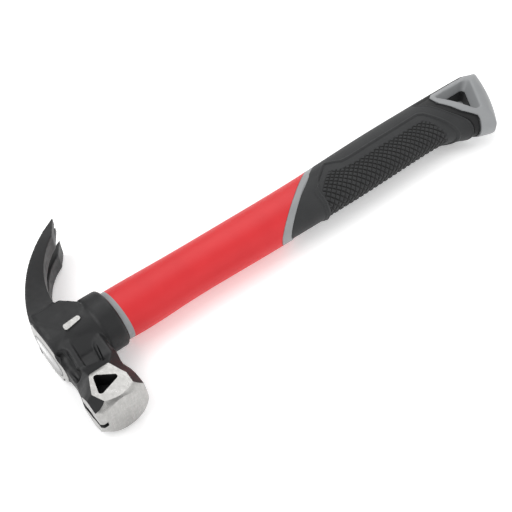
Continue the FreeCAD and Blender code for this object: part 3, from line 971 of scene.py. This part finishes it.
def pommel():
    """Grey moulding with its edges rounded over, and its hidden tube slimmed."""
    obj = remeshed("pommel_moulding", "grip_carrier", POMMEL_VOXEL)
    mesh = obj.data
    relax(mesh, 16, 0.12 + 0.7 * ramp(local_coordinates(mesh)[:, 0], 280.0, 290.0))
    x, y, z = local_coordinates(mesh).T
    tube = ramp(x - BAND_SLOPE * y, BAND_END + 0.8, BAND_END + 2.0) * ramp(x, 285.0, 283.0)
    tube *= ramp(oval_share(y, z, TUBE_HALF_Y, TUBE_HALF_Z), 0.96, 1.0)
    co = coordinates(mesh) - vertex_normals(mesh) * (TUBE_SLIMMING * tube * MM)[:, None]
    corner = HEEL_EASE * ramp(np.hypot(x - HEEL[0], y - HEEL[1]), HEEL_RADIUS, 0.0) * MM
    co[:, 0] -= corner
    co[:, 1] -= corner
    set_coordinates(mesh, co)
    shade(mesh, [GREY], MOULDING_CREASE)
    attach(obj, "root")
    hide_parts("grip_carrier")


def repaint(node, material):
    """A CAD node keeps its shape and gets a new material."""
    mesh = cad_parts[node].data
    mesh.materials.clear()
    mesh.materials.append(material)


head()
grip()
pommel()
repaint("neck_ferrule", GREY)
repaint("shaft_sleeve", RED)
repaint("eye_epoxy", EPOXY)
repaint("fibreglass_core", fibreglass())
repaint("starter_magnet", magnet_metal())


# ---------------------------------------------------------------- stage, light, camera

FLOOR_REACH = 6.0           # metres
FLOOR_GAP = 0.0003          # the floor lies this far under the hammer


def floor():
    """Pale floor, with a little light of its own so that it stays as pale as a studio's."""
    mesh = bpy.data.meshes.new("floor")
    corners = [(x * FLOOR_REACH, y * FLOOR_REACH, 0)
               for x, y in ((-1, -1), (1, -1), (1, 1), (-1, 1))]
    mesh.from_pydata(corners, [], [(0, 1, 2, 3)])
    obj = new_object("floor", mesh)
    obj.location.z = CAD_BOX[0][2] - FLOOR_GAP
    material = bpy.data.materials.new("pale_floor")
    material.use_nodes = True
    shader = material.node_tree.nodes["Principled BSDF"]
    shader.inputs["Base Color"].default_value = (0.985, 0.985, 0.985, 1)
    shader.inputs["Roughness"].default_value = 0.9
    shader.inputs["Specular IOR Level"].default_value = 0.1
    shader.inputs["Emission Color"].default_value = (1.0, 1.0, 1.0, 1)
    shader.inputs["Emission Strength"].default_value = 0.28
    mesh.materials.append(material)


def soft_light(name, place, target, size, power):
    """Round area lamp that faces a target."""
    data = bpy.data.lights.new(name, "AREA")
    data.shape = "DISK"
    data.size = size
    data.energy = power
    obj = bpy.data.objects.new(name, data)
    bpy.context.scene.collection.objects.link(obj)
    obj.location = place
    obj.rotation_euler = (Vector(target) - Vector(place)).to_track_quat("-Z", "Y").to_euler()


# Name, place from the target, diameter and power of each lamp, in metres and watts
LAMPS = (("key", (-1.0, 0.35, 1.5), 1.6, 19), ("back", (0.65, 0.86, 1.2), 1.3, 9),
         ("fill", (-1.2, -1.2, 0.8), 1.2, 3), ("low", (0.9, -0.95, 0.85), 1.8, 8))
LAMP_TARGET = at(120, 0, 0)


def lights():
    """An even white surround and four soft lamps."""
    world = bpy.data.worlds.new("studio")
    bpy.context.scene.world = world
    world.use_nodes = True
    background = world.node_tree.nodes["Background"]
    background.inputs["Color"].default_value = (1.0, 1.0, 1.0, 1)
    background.inputs["Strength"].default_value = 0.44
    for name, offset, size, power in LAMPS:
        soft_light(name, LAMP_TARGET + Vector(offset), LAMP_TARGET, size, power)


CAMERA_PLACE = at(-57.16, -253.02, 329.04)
CAMERA_AHEAD = Vector((0.4018, 0.5360, -0.7425))
CAMERA_RIGHT = Vector((0.7742, -0.6319, -0.0373))


def camera():
    """A normal lens, looking down past the face at the cheek and along the handle."""
    data = bpy.data.cameras.new("camera")
    data.lens = 56.25
    data.sensor_width = 36.0
    obj = bpy.data.objects.new("camera", data)
    bpy.context.scene.collection.objects.link(obj)
    ahead = CAMERA_AHEAD.normalized()
    up = CAMERA_RIGHT.cross(ahead).normalized()
    right = ahead.cross(up).normalized()
    turn = Matrix((right, up, -ahead)).transposed()
    obj.matrix_world = Matrix.Translation(CAMERA_PLACE) @ turn.to_4x4()
    bpy.context.scene.camera = obj


floor()
lights()
camera()
bpy.context.scene.view_settings.view_transform = "Standard"
